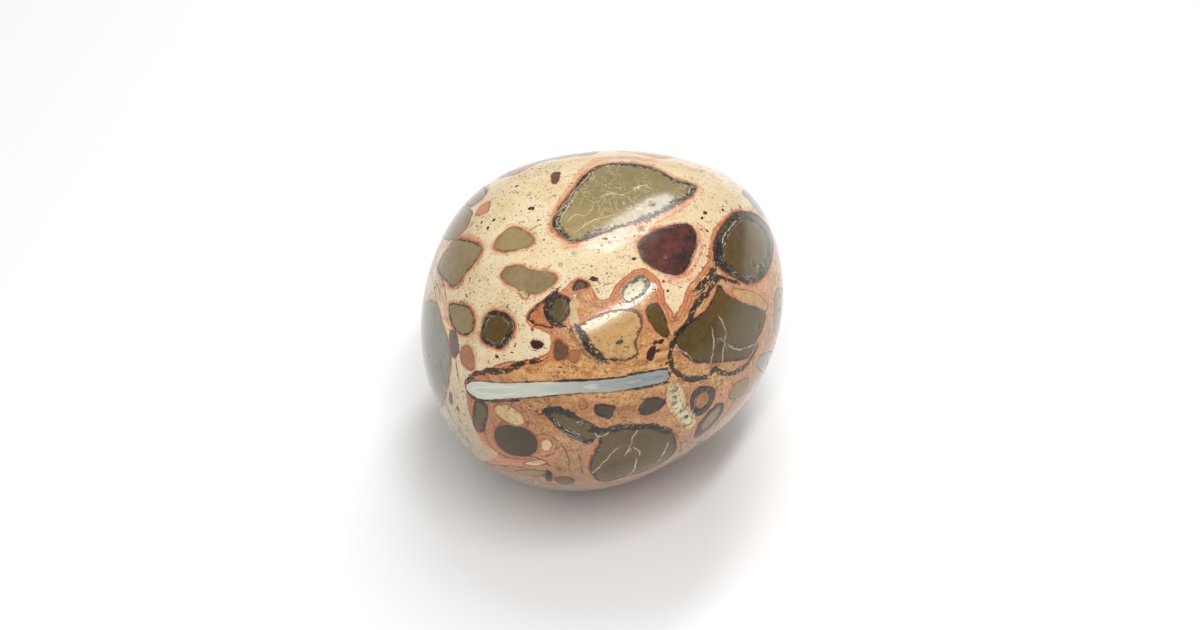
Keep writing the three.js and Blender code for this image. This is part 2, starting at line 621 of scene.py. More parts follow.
def stain(kind, pixels, soft=0.25, strength=1.0):
    """Gives a traced part of a clast another kind's colours. The edge is soft, over that many mm."""
    chart, corners = traced(pixels)
    near = chart.near(np.hypot(*corners.T).max() + HALO_REACH)
    distance = gap_to(smooth(corners), chart.flat(directions[near]), closed=True)[1]
    share = np.clip(0.5 - distance / (2 * soft), 0, 1)[:, None] * strength
    for name, paint in zip(("ground", "patch"), KINDS[kind]):
        tints[name][near] = tints[name][near] * (1 - share) + np.array(paint) * share


print("fields of the skin:", ", ".join(fields))

# %% [markdown]
# The clasts on the side that the photograph shows are traced in its pixels, with only the corners
# that each shape needs. They are listed from the top of the stone down to its foot. After a clast's outline
# stand its own rim and halo in mm, and then its crackle, where they aren't the usual ones of its kind.

# %% Clasts across the top
TOP_CLASTS = {
    "grey sliver on the top edge": ("grey", [
        (500, 178), (520, 169.5), (545, 161), (570, 156.5), (594, 153.5), (588, 144), (562, 139), (530, 145),
        (509, 159)],
        0.1, 0.35),
    "great olive": ("grey olive", [
        (553, 226), (557, 212), (568, 196), (585, 175), (600, 165.5), (622, 163), (650, 167), (675, 179),
        (694, 185), (696, 190), (684, 201), (658, 215), (620, 228), (590, 238), (570, 241)], 0.9, 0.6, 1.0),
    "small brown bar": ("brown", [(552, 173), (560.5, 172), (558, 181), (555, 184), (551, 182)], 0.05, 0.1),
    "tiny brown": ("near black", [(528, 208), (534, 206.5), (535, 209), (531, 210)], 0.05, 0.05),
    "upper left lens": ("pale olive", [
        (496, 249), (498, 239), (508, 229), (518, 228), (533, 238), (530, 245), (517, 250)], 0.1, 0.5),
    "mid left lens": ("olive", [
        (501.5, 276), (506, 268), (517, 265), (535, 271), (554, 275), (554, 283), (545, 290),
        (533, 294), (520, 290), (506, 282)], 0.1, 0.4),
    "lens tail": ("cream", [(519, 291), (527, 293), (529, 297), (524, 298.5)], 0.05, 0.2),
    "maroon": ("maroon", [
        (638, 247), (642, 239), (655, 230), (670, 225.5), (686, 224), (695, 231), (696, 245), (690, 262),
        (684, 271), (675, 276), (660, 271), (645, 262)], 0.3, 0.45),
    "right olive's shell": ("brown olive", [
        (743, 211), (759, 216), (771, 232), (773, 252), (768, 270), (758, 282), (747, 284), (732, 276),
        (719, 267), (713, 252), (716, 236), (725, 221), (734, 213)], 0.6, 0.5),
    "right olive": ("brown olive", [
        (745, 217), (758, 224), (768, 238), (769, 252), (764, 266), (757, 279), (748, 282), (738, 276),
        (725, 265), (719.5, 252), (722, 238), (731, 224), (738, 218)], 0.8, 0.1),
    "top right edge": ("grey", [
        (742, 192), (748, 199.5), (754, 208), (762, 216), (772, 222), (772, 206), (760, 190), (750, 186)],
        0.1, 0.15),
}


def lay_all(clasts):
    """Lays each clast of a table, and prints how far the clasts cover the stone."""
    for kind, pixels, *finish in clasts.values():
        lay_traced_clast(kind, pixels, *finish)
    covered = (fields["clast"] < 0).mean()
    print(len(clasts), "clasts laid; clasts cover", f"{covered:.0%}", "of the stone so far")


lay_all(TOP_CLASTS)

# %% Stains on the clasts across the top
TOP_STAINS = {
    "lower part of the great olive": ("pale olive", [
        (550, 228), (556, 212), (572, 205), (600, 212), (630, 214), (650, 212), (640, 224), (590, 242),
        (565, 243)], 1.5, 1.0),
    "right part of the right olive": ("olive", [
        (750, 216), (764, 226), (772, 250), (762, 272), (750, 284), (743, 270), (744, 240)], 0.5, 0.3),
    "lower part of the maroon": ("near black", [
        (668, 266), (680, 256), (693, 252), (690, 264), (684, 272), (674, 277), (662, 273)], 0.7, 0.6),
    "left edge of the maroon": ("slate", [
        (637, 247), (642, 238), (655, 229), (660, 234), (650, 244), (650, 260), (644, 262)], 0.6, 0.5),
}
for kind, pixels, soft, strength in TOP_STAINS.values():
    stain(kind, pixels, soft, strength)
print(len(TOP_STAINS), "stains")

# %% Clasts down the left side
LEFT_CLASTS = {
    "small left edge": ("olive", [(487, 190), (482, 199), (472, 206), (466, 204), (472, 194), (481, 187.5)]),
    "salmon": ("salmon", [(490, 202), (487, 212), (476, 216), (479, 208)], 0.05, 0.2),
    "left edge brow": ("olive", [
        (470, 210), (471, 218), (464, 231), (451, 240), (443, 236), (449, 220), (459, 208)], 0.15, 0.25),
    "left olive": ("olive", [
        (447, 250), (454, 240), (467, 240), (481, 246), (479, 257), (466, 273), (456, 286), (448, 283),
        (438, 269), (441, 258)], 0.25, 0.6),
    "left lower olive": ("olive", [
        (450, 303), (458, 304), (469, 307.5), (474, 318), (472, 332), (463, 335), (453, 326),
        (448.5, 312)], 0.3, 0.5),
    "round with a black rim": ("brown olive", [
        (497, 311), (506, 313), (513, 322), (514, 332), (507, 344), (498, 349), (485, 343),
        (480.5, 333), (484, 320), (490, 312)], 0.75, 0.5),
    "mauve": ("mauve", [(450, 331), (456, 333), (459, 346), (456, 357), (452, 355), (450, 343)]),
    "rust brown": ("rust", [
        (467, 345), (473, 353), (475, 366), (470, 370), (462, 363), (461, 351)], 0.1, 0.25),
    "great left": ("grey", [
        (436, 303), (442, 322), (449, 345), (450, 368), (446, 392), (440, 407), (430, 402), (416, 372),
        (410, 338), (416, 312), (427, 302)], 0.1, 0.35),
    "mauve splinter": ("mauve", [(450, 392), (452.5, 396), (452, 405), (449, 400)], 0.05, 0.05),
}
lay_all(LEFT_CLASTS)

# %% Clasts in the middle
MIDDLE_CLASTS = {
    "near black": ("near black", [(531, 341), (538, 340), (544, 344.5), (541, 348), (533, 348)]),
    "rusty node": ("orange", [
        (527, 318), (531, 311), (539, 303), (548, 298), (552, 301), (548, 312), (549, 320), (554, 328),
        (544, 327), (533, 324)], 0.35, 0.1),
    "grey brown": ("dark grey", [
        (557, 294), (567, 296), (571, 301), (568, 314), (560, 324), (552, 320), (549, 310), (552, 300)],
        0.6, 0.3),
    "pale patch": ("cream", [
        (572, 299), (577, 297), (580, 303), (577, 311), (579, 319), (574, 327), (569, 321), (571, 311),
        (569, 304)], 0.0, 0.15),
    "brown wedge": ("brown", [(577, 280), (585, 282), (590, 286), (584, 288), (572, 290)], 0.4, 0.3),
    "brown": ("brown", [
        (557, 339), (564, 344), (568.5, 347), (566, 358), (557, 359.5), (553.5, 352)], 0.1, 0.5),
    "rust tan": ("rust", [
        (572, 350), (579, 350), (580, 357), (576, 363), (569, 360), (569, 353)], 0.05, 0.2),
    "tan heart": ("tan", [
        (577, 328), (584, 342), (594, 355), (604, 360), (622, 361), (638, 355), (636, 341), (642, 328),
        (641, 316), (632, 309), (610, 311), (590, 319)], 0.35, 0.3),
    "pale": ("pale", [
        (621, 292), (627, 283), (641, 275), (650, 283), (645, 293), (634, 301), (625, 302)], 0.6, 0.25),
    "slim olive": ("brown olive", [
        (647, 308), (656, 302.5), (662, 310), (669, 330), (667, 337), (656, 331), (649, 319)], 0.3, 0.3),
    "dark vug": ("near black", [(650, 348), (656, 346), (655, 353), (651, 362), (646, 357)], 0.1, 0.1),
    "small vug": ("near black", [(659, 340), (663, 340), (662, 344), (658, 344)], 0.05, 0.05),
}
lay_all(MIDDLE_CLASTS)

# %% Clasts down the right side
RIGHT_CLASTS = {
    "tan lobe": ("tan", [
        (733, 289), (745, 290), (757, 294), (768, 306), (762, 312), (745, 303), (735, 298)], 0.1, 0.25),
    "great right": ("brown olive", [
        (719, 285), (727, 294), (742, 303), (764, 311), (765, 322), (757, 340), (749, 357), (740, 360),
        (712, 363), (694, 362), (680, 351), (674, 340), (684, 326), (703, 312), (712, 300)], 0.35, 0.3),
    "right edge, upper": ("olive", [
        (776, 290), (773.5, 312), (775, 334), (782, 336), (784, 314), (783, 291)], 0.2, 0.2),
    "right edge, lower": ("grey", [
        (758, 360), (764, 353), (773, 351), (775, 361), (767, 376), (759, 370)], 0.2, 0.2),
    "brown grey": ("olive", [
        (730, 399), (731, 390), (739, 381), (748, 378), (748, 387), (741, 396)], 0.15, 0.3),
    "target": ("slate", [
        (697, 388.5), (704, 386), (714, 389), (715, 397), (708, 409), (699, 416), (692, 411),
        (690, 402), (692, 394)], 0.3, 0.2),
    "target's middle": ("rust", [
        (700, 393), (706, 391.5), (710, 396), (706, 405), (699, 410), (695, 405), (696, 398)], 0.2, 0.05),
    "long grey": ("slate", [
        (698, 425), (707, 413), (718, 403), (724, 405), (719, 418), (706, 431), (694, 438)], 0.05, 0.2),
    "long grey's middle": ("olive", [
        (702, 425), (710, 414), (718, 407), (720, 410), (714, 420), (704, 429)], 0.1, 0.05),
    "dark grey edge": ("slate", [(691, 450), (697, 443), (708, 439), (704, 445), (696, 451)], 0.1, 0.1),
}
lay_all(RIGHT_CLASTS)
stain("dark grey", [
    (731, 298), (742, 303), (764, 311), (765, 322), (757, 340), (749, 357), (738, 361), (727, 356),
    (722, 342), (716, 330), (722, 314)])

# %% Clasts round the foot
FOOT_CLASTS = {
    "dark chip by the vein": ("dark grey", [
        (474, 402), (482, 401.5), (488, 407), (487, 421), (484, 431), (478, 432), (473, 421)], 0.5, 0.3),
    "cream eye": ("cream", [
        (495, 407), (506, 405), (516, 409), (524, 420), (521, 425), (509, 423), (498, 416)], 0.05, 0.7),
    "round grey": ("umber", [
        (496, 428), (506, 425), (524, 428), (536, 438), (537, 450), (529, 456), (512, 455), (499, 447),
        (494, 437)], 0.15, 0.8),
    "cream dot": ("cream", [(541, 441), (548, 439), (552, 444), (549, 450), (542, 449)], 0.1, 0.4),
    "cream sliver": ("cream", [(524, 463), (535, 460), (547, 462), (538, 465.5), (528, 465)], 0.05, 0.5),
    "brown sliver": ("olive", [(515, 471), (530, 469.5), (546, 472), (540, 476), (524, 475)], 0.2, 0.3),
    "black blob": ("near black", [(546, 470), (552, 473), (551, 482), (546, 480)], 0.2, 0.2),
    "grey sliver": ("dark grey", [(555, 478), (566, 476), (575, 480), (570, 484), (558, 483)], 0.3, 0.2),
    "lowest olive": ("olive", [(554, 488), (568, 484.5), (584, 488), (578, 495), (560, 495)], 0.15, 0.2),
    "slanting dark": ("dark grey", [
        (542, 411), (552, 407), (563, 408), (580, 417), (597, 426), (597, 434), (590, 444), (575, 439),
        (560, 430), (552, 422)], 0.8, 0.25),
    "great foot": ("dark grey", [
        (598, 430), (612, 429), (632, 427), (655, 426), (671, 433), (677, 445), (668, 459), (648, 470),
        (624, 477), (606, 482), (595, 478), (589, 466), (595, 452), (599, 441)], 0.6, 0.5),
    "small dark": ("umber", [
        (594, 405), (600, 403.5), (615, 406), (613, 413), (608, 418.5), (596, 415)], 0.45, 0.2),
    "dark oval": ("umber", [
        (640, 405), (646, 398.5), (658, 397), (666, 401), (660, 409), (646, 416), (639, 412)], 0.5, 0.25),
    "rust wedge": ("rust", [(580, 398), (585, 401), (588, 407), (580, 410)], 0.05, 0.3),
    "cream round the snake": ("cream", [
        (667, 386), (672, 382), (680, 384), (685, 394), (687, 404), (694, 414), (696, 424), (688, 430),
        (676, 419), (666, 402)], 0.05, 0.15),
    "pale snake": ("pale", [
        (669.5, 388), (675, 386), (680, 395), (682, 404), (690, 414), (692, 422), (686, 425), (677, 415),
        (671, 401)], 0.05, 0.15),
}
lay_all(FOOT_CLASTS)

# %% [markdown]
# Where a soft grain fell out of the polish there is a small dark pit. The greater ones are tiny clasts of
# their own, each at one pixel of the photograph.

# %% The greater specks
SPECKS = [  # x and y in the photograph, and the radius in mm
    (634, 259, 0.3), (593, 279, 0.35), (596.5, 279.5, 0.25), (602, 246, 0.25), (598, 250, 0.25),
    (517, 186, 0.25), (533, 208.5, 0.3), (538, 220, 0.25), (532, 329, 0.25), (515, 347, 0.25),
    (512, 352.5, 0.25), (497, 357, 0.3), (664, 281, 0.3), (681, 287, 0.25), (668, 291, 0.25),
    (705, 212.5, 0.35), (702, 218, 0.25), (620, 342, 0.25), (673, 391, 0.3), (675, 397, 0.3),
    (674.5, 403, 0.25), (681, 411, 0.3), (686, 417, 0.35), (655, 342, 0.3), (651, 359.5, 0.3),
    (658, 350, 0.3), (443, 249, 0.25), (458, 409, 0.3), (464, 415, 0.25), (640, 366, 0.25),
    (482, 222, 0.25), (488, 228, 0.25), (494, 220, 0.25), (740, 207, 0.25), (723, 210, 0.25),
    (707, 231, 0.2),
]
SPECK_CORNERS = 6
SPECK_FLATNESS = 0.8  # its height as a share of its width


def lay_speck(x, y, radius):
    """A small dark clast at a pixel."""
    turn = np.arange(SPECK_CORNERS) * 2 * math.pi / SPECK_CORNERS
    outline = np.stack([np.cos(turn), np.sin(turn) * SPECK_FLATNESS], 1) * radius
    lay_clast(Chart(on_skin(x, y)), outline, "speck")


for speck in SPECKS:
    lay_speck(*speck)
print(len(SPECKS), "specks")

# %% [markdown]
# Four kinds of line cross the stone. Cracks healed with pale quartz cross the big clasts, and black seams of
# manganese run between them. Threads are thin brown lines along the flow of the tan rock, and blushes are
# broad soft bands of orange. A line is thinner than the mesh's squares, so each point keeps two numbers for
# it: a distance with a sign, which passes through zero exactly on the line, and a distance without one,
# which says that the line is near.

# %% Cracks and seams
CRACKS = [
    [(720, 318), (726, 332), (724, 345), (722, 362)],
    [(712, 330), (714, 345), (711, 362)],
    [(720, 339), (727, 344), (735, 349), (746, 348), (757, 343)],
    [(674, 342), (680, 350), (686, 353), (693, 361)],
    [(603, 196), (612, 193), (622, 195), (634, 189), (643, 185), (650, 188)],
    [(568, 221), (576, 214), (585, 216), (592, 208)],
    [(575, 232), (590, 222), (600, 218), (614, 215)],
    [(592, 474), (600, 466), (607, 459), (613, 452), (618, 448)],
    [(641, 426), (633, 436), (631, 444), (626, 454)],
    [(635, 448), (640, 453), (636, 461), (634, 470), (627, 476)],
    [(594, 432), (599, 437), (605, 435), (611, 431)],
    [(668, 444), (664, 452), (659, 461)],
    [(609, 360), (613, 345), (620, 338)],
    [(558, 212), (565, 203), (573, 193), (581, 184), (590, 174)],
    [(562, 216), (570, 203), (578, 194)],
    [(722, 244), (724, 236), (729, 229), (735, 222)],
]
SEAMS = [
    [(671, 372), (671, 362), (670, 352), (677, 335), (691, 318), (694, 306), (704, 296), (714, 284),
     (718, 277), (727, 280), (737, 283)],
    [(696, 289), (703, 283), (710, 275), (715, 265), (716, 253), (720, 243)],
    [(671, 364), (675, 373), (688, 379), (706, 377), (716, 370), (730, 374), (745, 366), (757, 347)],
    [(466, 385), (470, 378), (487, 371), (505, 371), (520, 364), (540, 361)],
    [(561, 326), (552, 322), (546, 312), (549, 300), (556, 292)],
]
FINE_SEAMS = [
    [(467, 388), (472, 397), (490, 401), (520, 400)],
    [(560, 381), (590, 380), (612, 378)],
    [(630, 374.5), (650, 371.5), (667, 369)],
    [(635, 389), (652, 386), (667, 382)],
    [(482, 401), (484, 394), (476, 390)],
]
BROAD_SEAMS = [
    [(594, 430), (612, 429), (632, 427), (655, 426.5), (669, 432)],
    [(545, 412), (553, 409), (563, 410.5), (573, 416)],
    [(579, 331), (585, 341), (592, 350), (600, 357)],
]
print(len(CRACKS), "cracks,", len(SEAMS + FINE_SEAMS + BROAD_SEAMS), "seams")

# %% Threads and blushes
THREADS = [
    [(668, 428), (677, 436), (681, 447), (675, 460), (662, 470)],
    [(489, 404), (498, 402), (510, 402), (522, 409), (529, 420), (524, 428), (512, 427)],
    [(536, 436), (546, 434), (556, 440), (555, 452), (546, 456)],
    [(600, 484), (620, 482), (645, 476), (668, 464)],
    [(566, 432), (574, 444), (580, 458), (582, 472)],
    [(560, 442), (568, 456), (570, 472)],
    [(432, 270), (434, 284), (436, 298)],
    [(444, 396), (450, 412), (459, 430), (470, 446)],
    [(447, 408), (456, 426), (468, 442)],
    [(575, 323), (572, 330), (577, 340), (588, 353), (602, 362), (622, 364)],
    [(571, 326), (570, 334), (578, 346), (592, 360), (606, 366)],
    [(484, 428), (486, 437), (491, 446), (500, 454), (513, 458.5), (530, 459)],
    [(530, 456), (540, 459), (549, 465), (560, 470)],
    [(474, 456), (490, 464), (510, 466), (526, 468)],
    [(480, 460), (496, 468), (515, 472)],
    [(449, 419), (453, 427), (458, 434)],
    [(458, 415), (462, 424)],
    [(460, 427), (466, 437), (474, 447)],
    [(456, 437), (464, 446), (472, 452)],
    [(456, 359), (457, 370), (459, 380)],
    [(457.5, 406), (459, 413)],
    [(735, 400), (727, 412), (715, 426), (702, 440), (693, 450)],
    [(753, 383), (745, 396), (735, 408)],
    [(536, 480), (550, 484), (566, 484), (585, 488)],
    [(430, 262), (436, 282), (440, 300)],
    [(436, 252), (442, 280), (446, 298)],
    [(529, 230), (540, 225)],
    [(645, 262), (640, 256), (637, 247)],
    [(684, 272), (690, 264), (695, 252), (698, 240)],
]
BLUSHES = [
    [(566, 247), (590, 243), (615, 236), (640, 226), (662, 219), (685, 206)],
    [(600, 243), (625, 238), (640, 234), (652, 226)],
    [(699, 228), (703, 245), (699, 262), (690, 275), (672, 281)],
    [(556, 216), (566, 196), (582, 174), (598, 160), (622, 157), (650, 161)],
    [(421, 300), (428, 280), (436, 262), (441, 246)],
    [(437, 300), (441, 290), (444, 300), (448, 320)],
    [(476, 240), (462, 236), (448, 242)],
    [(478, 420), (482, 440), (492, 454), (508, 462), (530, 462), (546, 458)],
    [(492, 462), (515, 462), (545, 456), (560, 448)],
    [(735, 378), (722, 392), (712, 412), (696, 428), (680, 432)],
    [(494, 402), (508, 401), (524, 410), (530, 424)],
    [(736, 285), (748, 286), (762, 290), (770, 300)],
    [(690, 168), (705, 172), (716, 178)],
]


def lay_line(chart, corners, kind, breadth=1.0):
    """Adds one line to its kind's pair of fields. Distances over the breadth make it broader or finer."""
    near = chart.near(np.hypot(*corners.T).max() + HALO_REACH)
    distance, signed = gap_to(smooth(corners, closed=False), chart.flat(directions[near]), closed=False)
    closer = distance < fields[kind + "_near"][near]
    fields[kind + "_near"][near[closer]] = distance[closer] / breadth
    fields[kind + "_side"][near[closer]] = signed[closer] / breadth


LINES = (  # kind, where the lines run, and how broad they are
    ("crack", CRACKS, 1.0),
    ("seam", SEAMS, 1.0),
    ("seam", FINE_SEAMS, 0.5),
    ("seam", BROAD_SEAMS, 1.4),
    ("thread", THREADS, 1.0),
    ("blush", BLUSHES, 1.0),
)
for kind, lines, breadth in LINES:
    for line in lines:
        lay_line(*traced(line), kind, breadth)
    print(len(lines), "traced lines of the kind", kind)

# %% [markdown]
# The white vein is a crack that filled with chalcedony. It is polished flush with the rock. The rock itself
# has two grounds: cream where it stayed fresh, and tan to rust where iron soaked in, with bands of orange
# along the line between them. The tan ground's outline is closed round the sides that the photo hides.

# %% The vein
VEIN = [
    (466, 388), (474, 381.5), (500, 383), (540, 382), (580, 381.5), (615, 378.5), (640, 374), (664, 370),
    (668, 373), (666, 381), (645, 386), (615, 391), (580, 393), (545, 396), (510, 398.5), (480, 399),
]
chart, corners = traced(VEIN)
near = chart.near(FAR)
fields["vein"][near] = gap_to(smooth(corners), chart.flat(directions[near]), closed=True)[1]
print("the vein covers", f"{(fields['vein'] < 0).mean():.1%}", "of the stone")

# %% The two grounds
TAN_EDGE = [  # from the right edge of the stone, round the middle, to its lower left edge
    (782, 238), (772, 240), (766, 228), (756, 217), (742, 211.5), (726, 217), (716, 229), (711, 244),
    (707, 266), (697, 278), (689, 287), (684, 302), (677, 316), (672, 317), (665, 302), (658, 280),
    (644, 270), (626, 275), (616, 288), (607, 300), (597, 299), (589, 286), (578, 280), (562, 291),
    (540, 302), (529, 312), (529, 322), (540, 328), (550, 334), (552, 347), (546, 357), (520, 362),
    (490, 368), (474, 373), (466, 381), (466, 394), (470, 413), (477, 432), (489, 446), (499, 456),
    (485, 468),
]
TAN_FAR_SIDE = [  # azimuth and elevation, on from there under the stone and up its right side
    (250, -62), (180, -74), (90, -68), (55, -45), (40, -20), (28, 0), (14, 12),
]
edge = unit(np.array([on_skin(*pixel) for pixel in TAN_EDGE]))
edge = np.vstack([edge, [towards(*way) for way in TAN_FAR_SIDE]])
chart = Chart(unit(edge.mean(0)) * radii.mean())
fields["zone"] = gap_to(smooth(chart.flat(edge)), chart.flat(directions), closed=True)[1]
print("tan ground covers", f"{(fields['zone'] < 0).mean():.0%}", "of the stone")

# %% [markdown]
# What the photograph hides is made up at random. The dice have a fixed seed, so that every run throws the
# same. First come a few uneven patches of tan ground in the cream of the far side.

# %% Tan patches on the far side
BACK_PATCHES = [  # azimuth, elevation and radius in mm
    (95, 8, 9.0), (140, -28, 8.0), (172, 6, 6.0), (62, 44, 7.0), (118, 52, 5.0),
]
FAR_SIDE_SEED = 41


def blob(dice, size, corners, unevenness, stretch):
    """An uneven round outline with that radius, in mm."""
    turn = dice.uniform(0, 2 * math.pi)
    angles = turn + (np.arange(corners) + dice.uniform(-0.25, 0.25, corners)) * 2 * math.pi / corners
    reach = size * (1 + dice.uniform(-unevenness, unevenness, corners))
    shape = np.stack([np.cos(angles) * reach * stretch, np.sin(angles) * reach / stretch], 1)
    spin = dice.uniform(0, math.pi)
    return shape @ np.array([[math.cos(spin), -math.sin(spin)], [math.sin(spin), math.cos(spin)]])


dice = np.random.default_rng(FAR_SIDE_SEED)
for azimuth, elevation, size in BACK_PATCHES:
    chart = Chart(np.array(towards(azimuth, elevation)) * radii.mean())
    outline = smooth(blob(dice, size, corners=11, unevenness=0.4, stretch=1.2))
    distance = gap_to(outline, chart.flat(directions), closed=True)[1]
    fields["zone"] = np.minimum(fields["zone"], distance)
print("with the patches it covers", f"{(fields['zone'] < 0).mean():.0%}")

# %% [markdown]
# The far side has the same mix of clasts as the near one, at random places too: a few great ones first, and
# then smaller and smaller ones where there is still room. A place is free where the clast and vein fields
# say that nothing is near, and where the camera of the photograph doesn't see it. Threads and blushes cross
# the far side at random places too.

# %% How the far side is filled
SIZES = (  # how many, smallest and greatest radius in mm
    (5, 6.0, 8.0),
    (16, 3.2, 5.0),
    (44, 1.5, 2.8),
    (60, 0.6, 1.2),
)
KIND_ODDS = {
    "olive": 5, "pale olive": 3, "brown olive": 4, "grey": 3, "dark grey": 4, "maroon": 1.5,
    "near black": 1, "brown": 2, "rust": 2, "salmon": 1, "mauve": 1, "tan": 2, "cream": 1.5, "slate": 1,
}
GREAT_KINDS = ("olive", "brown olive", "dark grey", "grey", "pale olive")
GREAT_RADIUS = 5.0  # mm, above which a clast is of one of the great kinds
RIMMED_RADIUS = 3.0  # mm, above which a clast may have a broad rim and crazing
CRACKED_RADIUS = 3.5  # mm, above which a clast has cracks
BROAD_RIM = (0.3, 1.0)  # mm
RIMMED_SHARE, CRAZED_SHARE = 0.6, 0.4
FAR_LINES = (("thread", 16), ("blush", 12))
FAR_LINE_REACH = 8.0  # mm from a line's middle
ROOM = 0.9  # mm of rock left between two clasts
VIEW_MARGIN = 0.06  # the cosine of how far the skin has turned from the camera where clasts begin
VIEW_SPREAD = 40.0  # mm of radius that would add 1 to that margin
WELL_BEHIND = -0.3  # the cosine where lines begin
OUTLINE_CORNERS = (7, 11)  # the fewest corners, and one more than the most
CRACK_CORNERS = 5

sight = unit(np.array(eye) - skin)
normals = np.empty(count * 3, dtype=np.float32)
mesh.vertex_normals.foreach_get("vector", normals)
facing = (sight * normals.reshape(-1, 3)).sum(1)  # above 0 where the camera sees the skin
odds = np.array(list(KIND_ODDS.values()), float)
odds /= odds.sum()
print("the camera doesn't see", f"{(facing < 0).mean():.0%}", "of the stone")

# %% Clasts on the far side


def crack_across(dice, size):
    """A jagged line across a clast of that radius."""
    heading = dice.uniform(0, 2 * math.pi)
    along = np.linspace(-0.8, dice.uniform(0.1, 0.8), CRACK_CORNERS) * size
    aside = dice.uniform(-0.14, 0.14, CRACK_CORNERS) * size + dice.uniform(-0.4, 0.4) * size
    return np.stack([
        along * math.cos(heading) - aside * math.sin(heading),
        along * math.sin(heading) + aside * math.cos(heading),
    ], 1)


def lay_random_clast(dice, smallest, greatest):
    """Adds a clast of a random kind and size at a free place, and says whether there was one."""
    size = dice.uniform(smallest, greatest)
    kind = dice.choice(list(KIND_ODDS), p=odds)
    if smallest > GREAT_RADIUS:
        kind = dice.choice(GREAT_KINDS)
    room = np.minimum(fields["clast"], fields["vein"])
    free = np.flatnonzero((room > size + ROOM) & (facing < -size / VIEW_SPREAD - VIEW_MARGIN))
    if len(free) == 0:
        return False
    chart = Chart(skin[dice.choice(free)])
    corners = int(dice.integers(*OUTLINE_CORNERS))
    outline = blob(dice, size, corners, unevenness=0.16, stretch=dice.uniform(1.0, 1.25))
    broad = size > RIMMED_RADIUS
    rim = dice.uniform(*BROAD_RIM) if broad and dice.random() < RIMMED_SHARE else None
    crackle = float(broad and dice.random() < CRAZED_SHARE)
    lay_clast(chart, smooth(outline), kind, rim, None, crackle)
    if size > CRACKED_RADIUS:
        for _ in range(int(dice.integers(1, 4))):
            lay_line(chart, crack_across(dice, size), "crack")
    return True


placed = 0
for number, smallest, greatest in SIZES:
    for _ in range(number):
        placed += lay_random_clast(dice, smallest, greatest)
for kind, number in FAR_LINES:
    for _ in range(number):
        place = skin[dice.choice(np.flatnonzero(facing < WELL_BEHIND))]
        lay_line(Chart(place), crack_across(dice, FAR_LINE_REACH), kind)
print(placed, "clasts on the far side; clasts cover", f"{(fields['clast'] < 0).mean():.0%}")

# %% [markdown]
# Every field becomes an attribute of the mesh's points, which the material reads by name. A material that
# reads attributes keeps its markings in place from every side and in every copy of the mesh.

# %% The fields become attributes
for name, values in fields.items():
    attribute = mesh.attributes.new(name, "FLOAT", "POINT")
    attribute.data.foreach_set("value", values.astype(np.float32))
for name, values in tints.items():
    attribute = mesh.attributes.new(name, "FLOAT_COLOR", "POINT")
    attribute.data.foreach_set("color", values.astype(np.float32).ravel())
print("attributes:", [a.name for a in mesh.attributes if not a.name.startswith(".")])

# %% [markdown]
# The material paints the rock in layers, as the rock itself formed: the ground, cream or tan, with its iron
# bands; the halos round the clasts; the clasts with their mottled rims; cracks and seams; the vein; and at
# last the pits of the polished skin, darkened with painted shade. The grounds and halos also get painted
# shade towards the foot. Each colour has a name. A layer is a share from 0 to 1, which says how much of the
# layer shows, and a colour.

# %% The colours of the rock
TONES = {  # as a display shows them, with channels from 0 to 255
    "fresh cream": (233, 213, 175),
    "deep cream": (223, 199, 153),
    "straw": (212, 184, 134),
    "dull straw": (196, 166, 118),
    "rosy cream": (232, 198, 158),
    "shaded cream": (166, 150, 124),
    "pale tan": (214, 168, 114),
    "tan": (202, 142, 88),
    "shaded tan": (140, 103, 72),
    "thin rust band": (170, 102, 62),
    "sand": (220, 180, 132),
    "brown grain": (156, 98, 54),
    "pale grain": (236, 192, 132),
    "burnt orange": (176, 98, 54),
    "honey": (210, 152, 84),
    "dark honey": (160, 98, 34),
    "brown fibre": (152, 90, 44),
    "pale fibre": (226, 178, 116),
    "rosy marbling": (200, 144, 114),
    "pale marbling": (226, 196, 156),
    "marbling line": (128, 76, 50),
    "pale blotch": (234, 188, 126),
    "rust blotch": (174, 102, 54),
    "blotch line": (144, 80, 44),
    "brown stain": (150, 88, 32),
    "border band": (190, 92, 50),
    "border thread": (176, 78, 46),
    "blush": (216, 142, 104),
    "inner halo": (188, 96, 58),
    "outer halo": (222, 156, 112),
    "clouded halo": (206, 136, 90),
    "shaded halo": (146, 98, 74),
    "outer line": (196, 104, 66),
    "rust line": (140, 66, 42),
    "dark cloud": (66, 56, 42),
    "pale cloud": (190, 176, 142),
    "crazing": (214, 186, 132),
    "black rim": (23, 22, 19),
    "slate rim": (68, 68, 60),
    "rim strand and glint": (192, 188, 170),
    "clast edge": (46, 34, 26),
    "healed crack": (208, 194, 164),
    "manganese": (24, 23, 22),
    "seam fleck": (176, 168, 140),
    "flow thread": (92, 68, 52),
    "white vein": (206, 208, 190),
    "blue vein": (120, 130, 136),
    "grey streak": (172, 176, 168),
    "white streak": (232, 233, 222),
    "vein grain": (150, 152, 140),
    "vein edge": (44, 34, 28),
    "speck": (90, 72, 40),
    # the pit colour is painted shade in the pits that the mesh dips at
    "pit": (78, 60, 38),
}
print(len(TONES), "colours")

# %% [markdown]
# A few words make the layers short to write. Each field is read by its name. Noise bends every edge a
# little, so that no line is a clean curve, and a shift moves it so that no two noises are alike.

# %% Words for the material
rock.use_nodes = True
rock.node_tree.nodes.clear()
nodes = Nodes(rock.node_tree)
place = nodes.add("ShaderNodeTexCoord").outputs["Object"]
millimetres = nodes.vector("SCALE", place, 1 / MM)
axes = nodes.add("ShaderNodeSeparateXYZ", wiring={0: millimetres}).outputs
across = Number(nodes, axes["X"])  # mm from the middle to the right
height = Number(nodes, axes["Z"])  # mm above the floor


